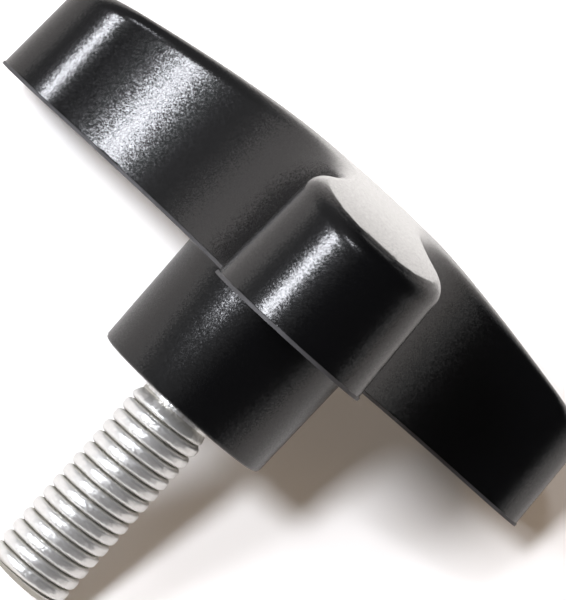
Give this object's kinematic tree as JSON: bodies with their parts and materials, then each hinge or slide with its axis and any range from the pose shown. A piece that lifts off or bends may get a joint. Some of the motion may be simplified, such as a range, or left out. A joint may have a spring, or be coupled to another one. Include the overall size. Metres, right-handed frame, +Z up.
{
  "type": "star knob screw",
  "caption": "Rounded star-shaped hand knob in glossy black plastic on a short hub, with a threaded zinc-plated steel stud moulded into it for clamping by hand.",
  "frame": {"origin": "centre of the bounding box on the table that the part lies on", "axes": "+Z up from the table; the screw axis lies in the XZ plane and leans up towards +X, so the stud points to -X and down; +Y across the knob"},
  "size_m": [0.0378, 0.0486, 0.0415],
  "materials": {
    "knob_plastic": "glossy black compression-moulded plastic with a fine moulded grain",
    "stud_steel": "bright zinc-plated rolled steel"
  },
  "bodies": {
    "root": {"star_knob": "knob_plastic", "threaded_stud": "stud_steel"}
  },
  "joints": []
}
